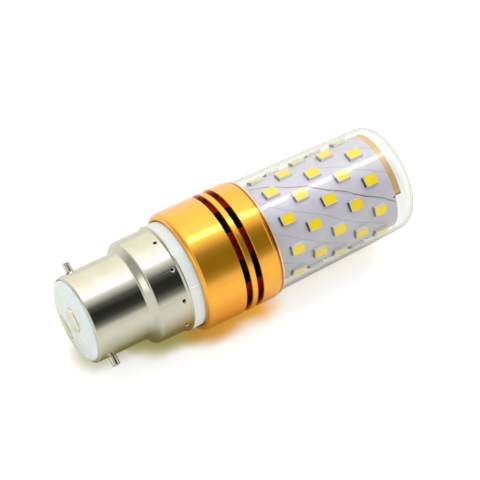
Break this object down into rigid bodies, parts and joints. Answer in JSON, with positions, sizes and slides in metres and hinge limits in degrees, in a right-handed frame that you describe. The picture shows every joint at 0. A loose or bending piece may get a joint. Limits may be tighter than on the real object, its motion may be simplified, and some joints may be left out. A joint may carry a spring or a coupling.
{
  "type": "corn led bulb",
  "caption": "Corn led bulb with a bayonet cap, a slotted gold heat sleeve and staggered rings of small leds under a clear tapered cover.",
  "frame": {"origin": "centre of the flat outer face of the clear cover's head, on which the bulb stands", "axes": "+Z along the bulb's axis towards the cap; the bayonet pins point along +X and -X, and the contact plates lie towards +Y and -Y"},
  "size_m": [0.0302, 0.0302, 0.0897],
  "materials": {
    "clear_plastic": "clear and polished",
    "gold_anodised": "satin gold anodising with fine turning lines",
    "nickel_plate": "bright plating on pressed sheet",
    "insulator_white": "glossy and white",
    "contact_metal": "dull solder-coloured metal",
    "housing_white": "moulded, satin",
    "fibreglass": "bare laminate",
    "capacitor_sleeve": "shrunk sleeve",
    "resistor_ceramic": "lacquered ceramic",
    "film_case": "dipped and glossy",
    "ferrite": "matt sintered",
    "black_epoxy": "moulded, matt",
    "lead_blue": "smooth insulation",
    "lead_red": "smooth insulation",
    "lead_black": "smooth insulation",
    "core_aluminium": "drawn tube",
    "board_white": "solder mask, satin",
    "copper": "bare rolled copper",
    "led_white": "moulded",
    "phosphor": "cast resin",
    "terminal_metal": "tinned"
  },
  "bodies": {
    "root": {"clear_cover": "clear_plastic", "heat_sleeve": "gold_anodised", "cap_shell": "nickel_plate", "bayonet_pin_right": "nickel_plate", "bayonet_pin_left": "nickel_plate", "cap_insulator": "insulator_white", "contact_plate_back": "contact_metal", "contact_plate_front": "contact_metal", "driver_housing": "housing_white", "driver_board": "fibreglass", "bulk_capacitor": "capacitor_sleeve", "fusible_resistor": "resistor_ceramic", "film_capacitor": "film_case", "power_inductor": "ferrite", "driver_chip": "black_epoxy", "bridge_rectifier": "black_epoxy", "supply_lead_back": "lead_blue", "supply_lead_front": "lead_blue", "led_lead_plus": "lead_red", "led_lead_minus": "lead_black", "core_tube": "core_aluminium", "led_board": "board_white", "board_end_strip": "copper", "led_packages_1": "led_white", "led_windows_1": "phosphor", "led_terminals_1": "terminal_metal", "led_packages_2": "led_white", "led_windows_2": "phosphor", "led_terminals_2": "terminal_metal", "led_packages_3": "led_white", "led_windows_3": "phosphor", "led_terminals_3": "terminal_metal", "led_packages_4": "led_white", "led_windows_4": "phosphor", "led_terminals_4": "terminal_metal", "led_packages_5": "led_white", "led_windows_5": "phosphor", "led_terminals_5": "terminal_metal"}
  },
  "joints": []
}
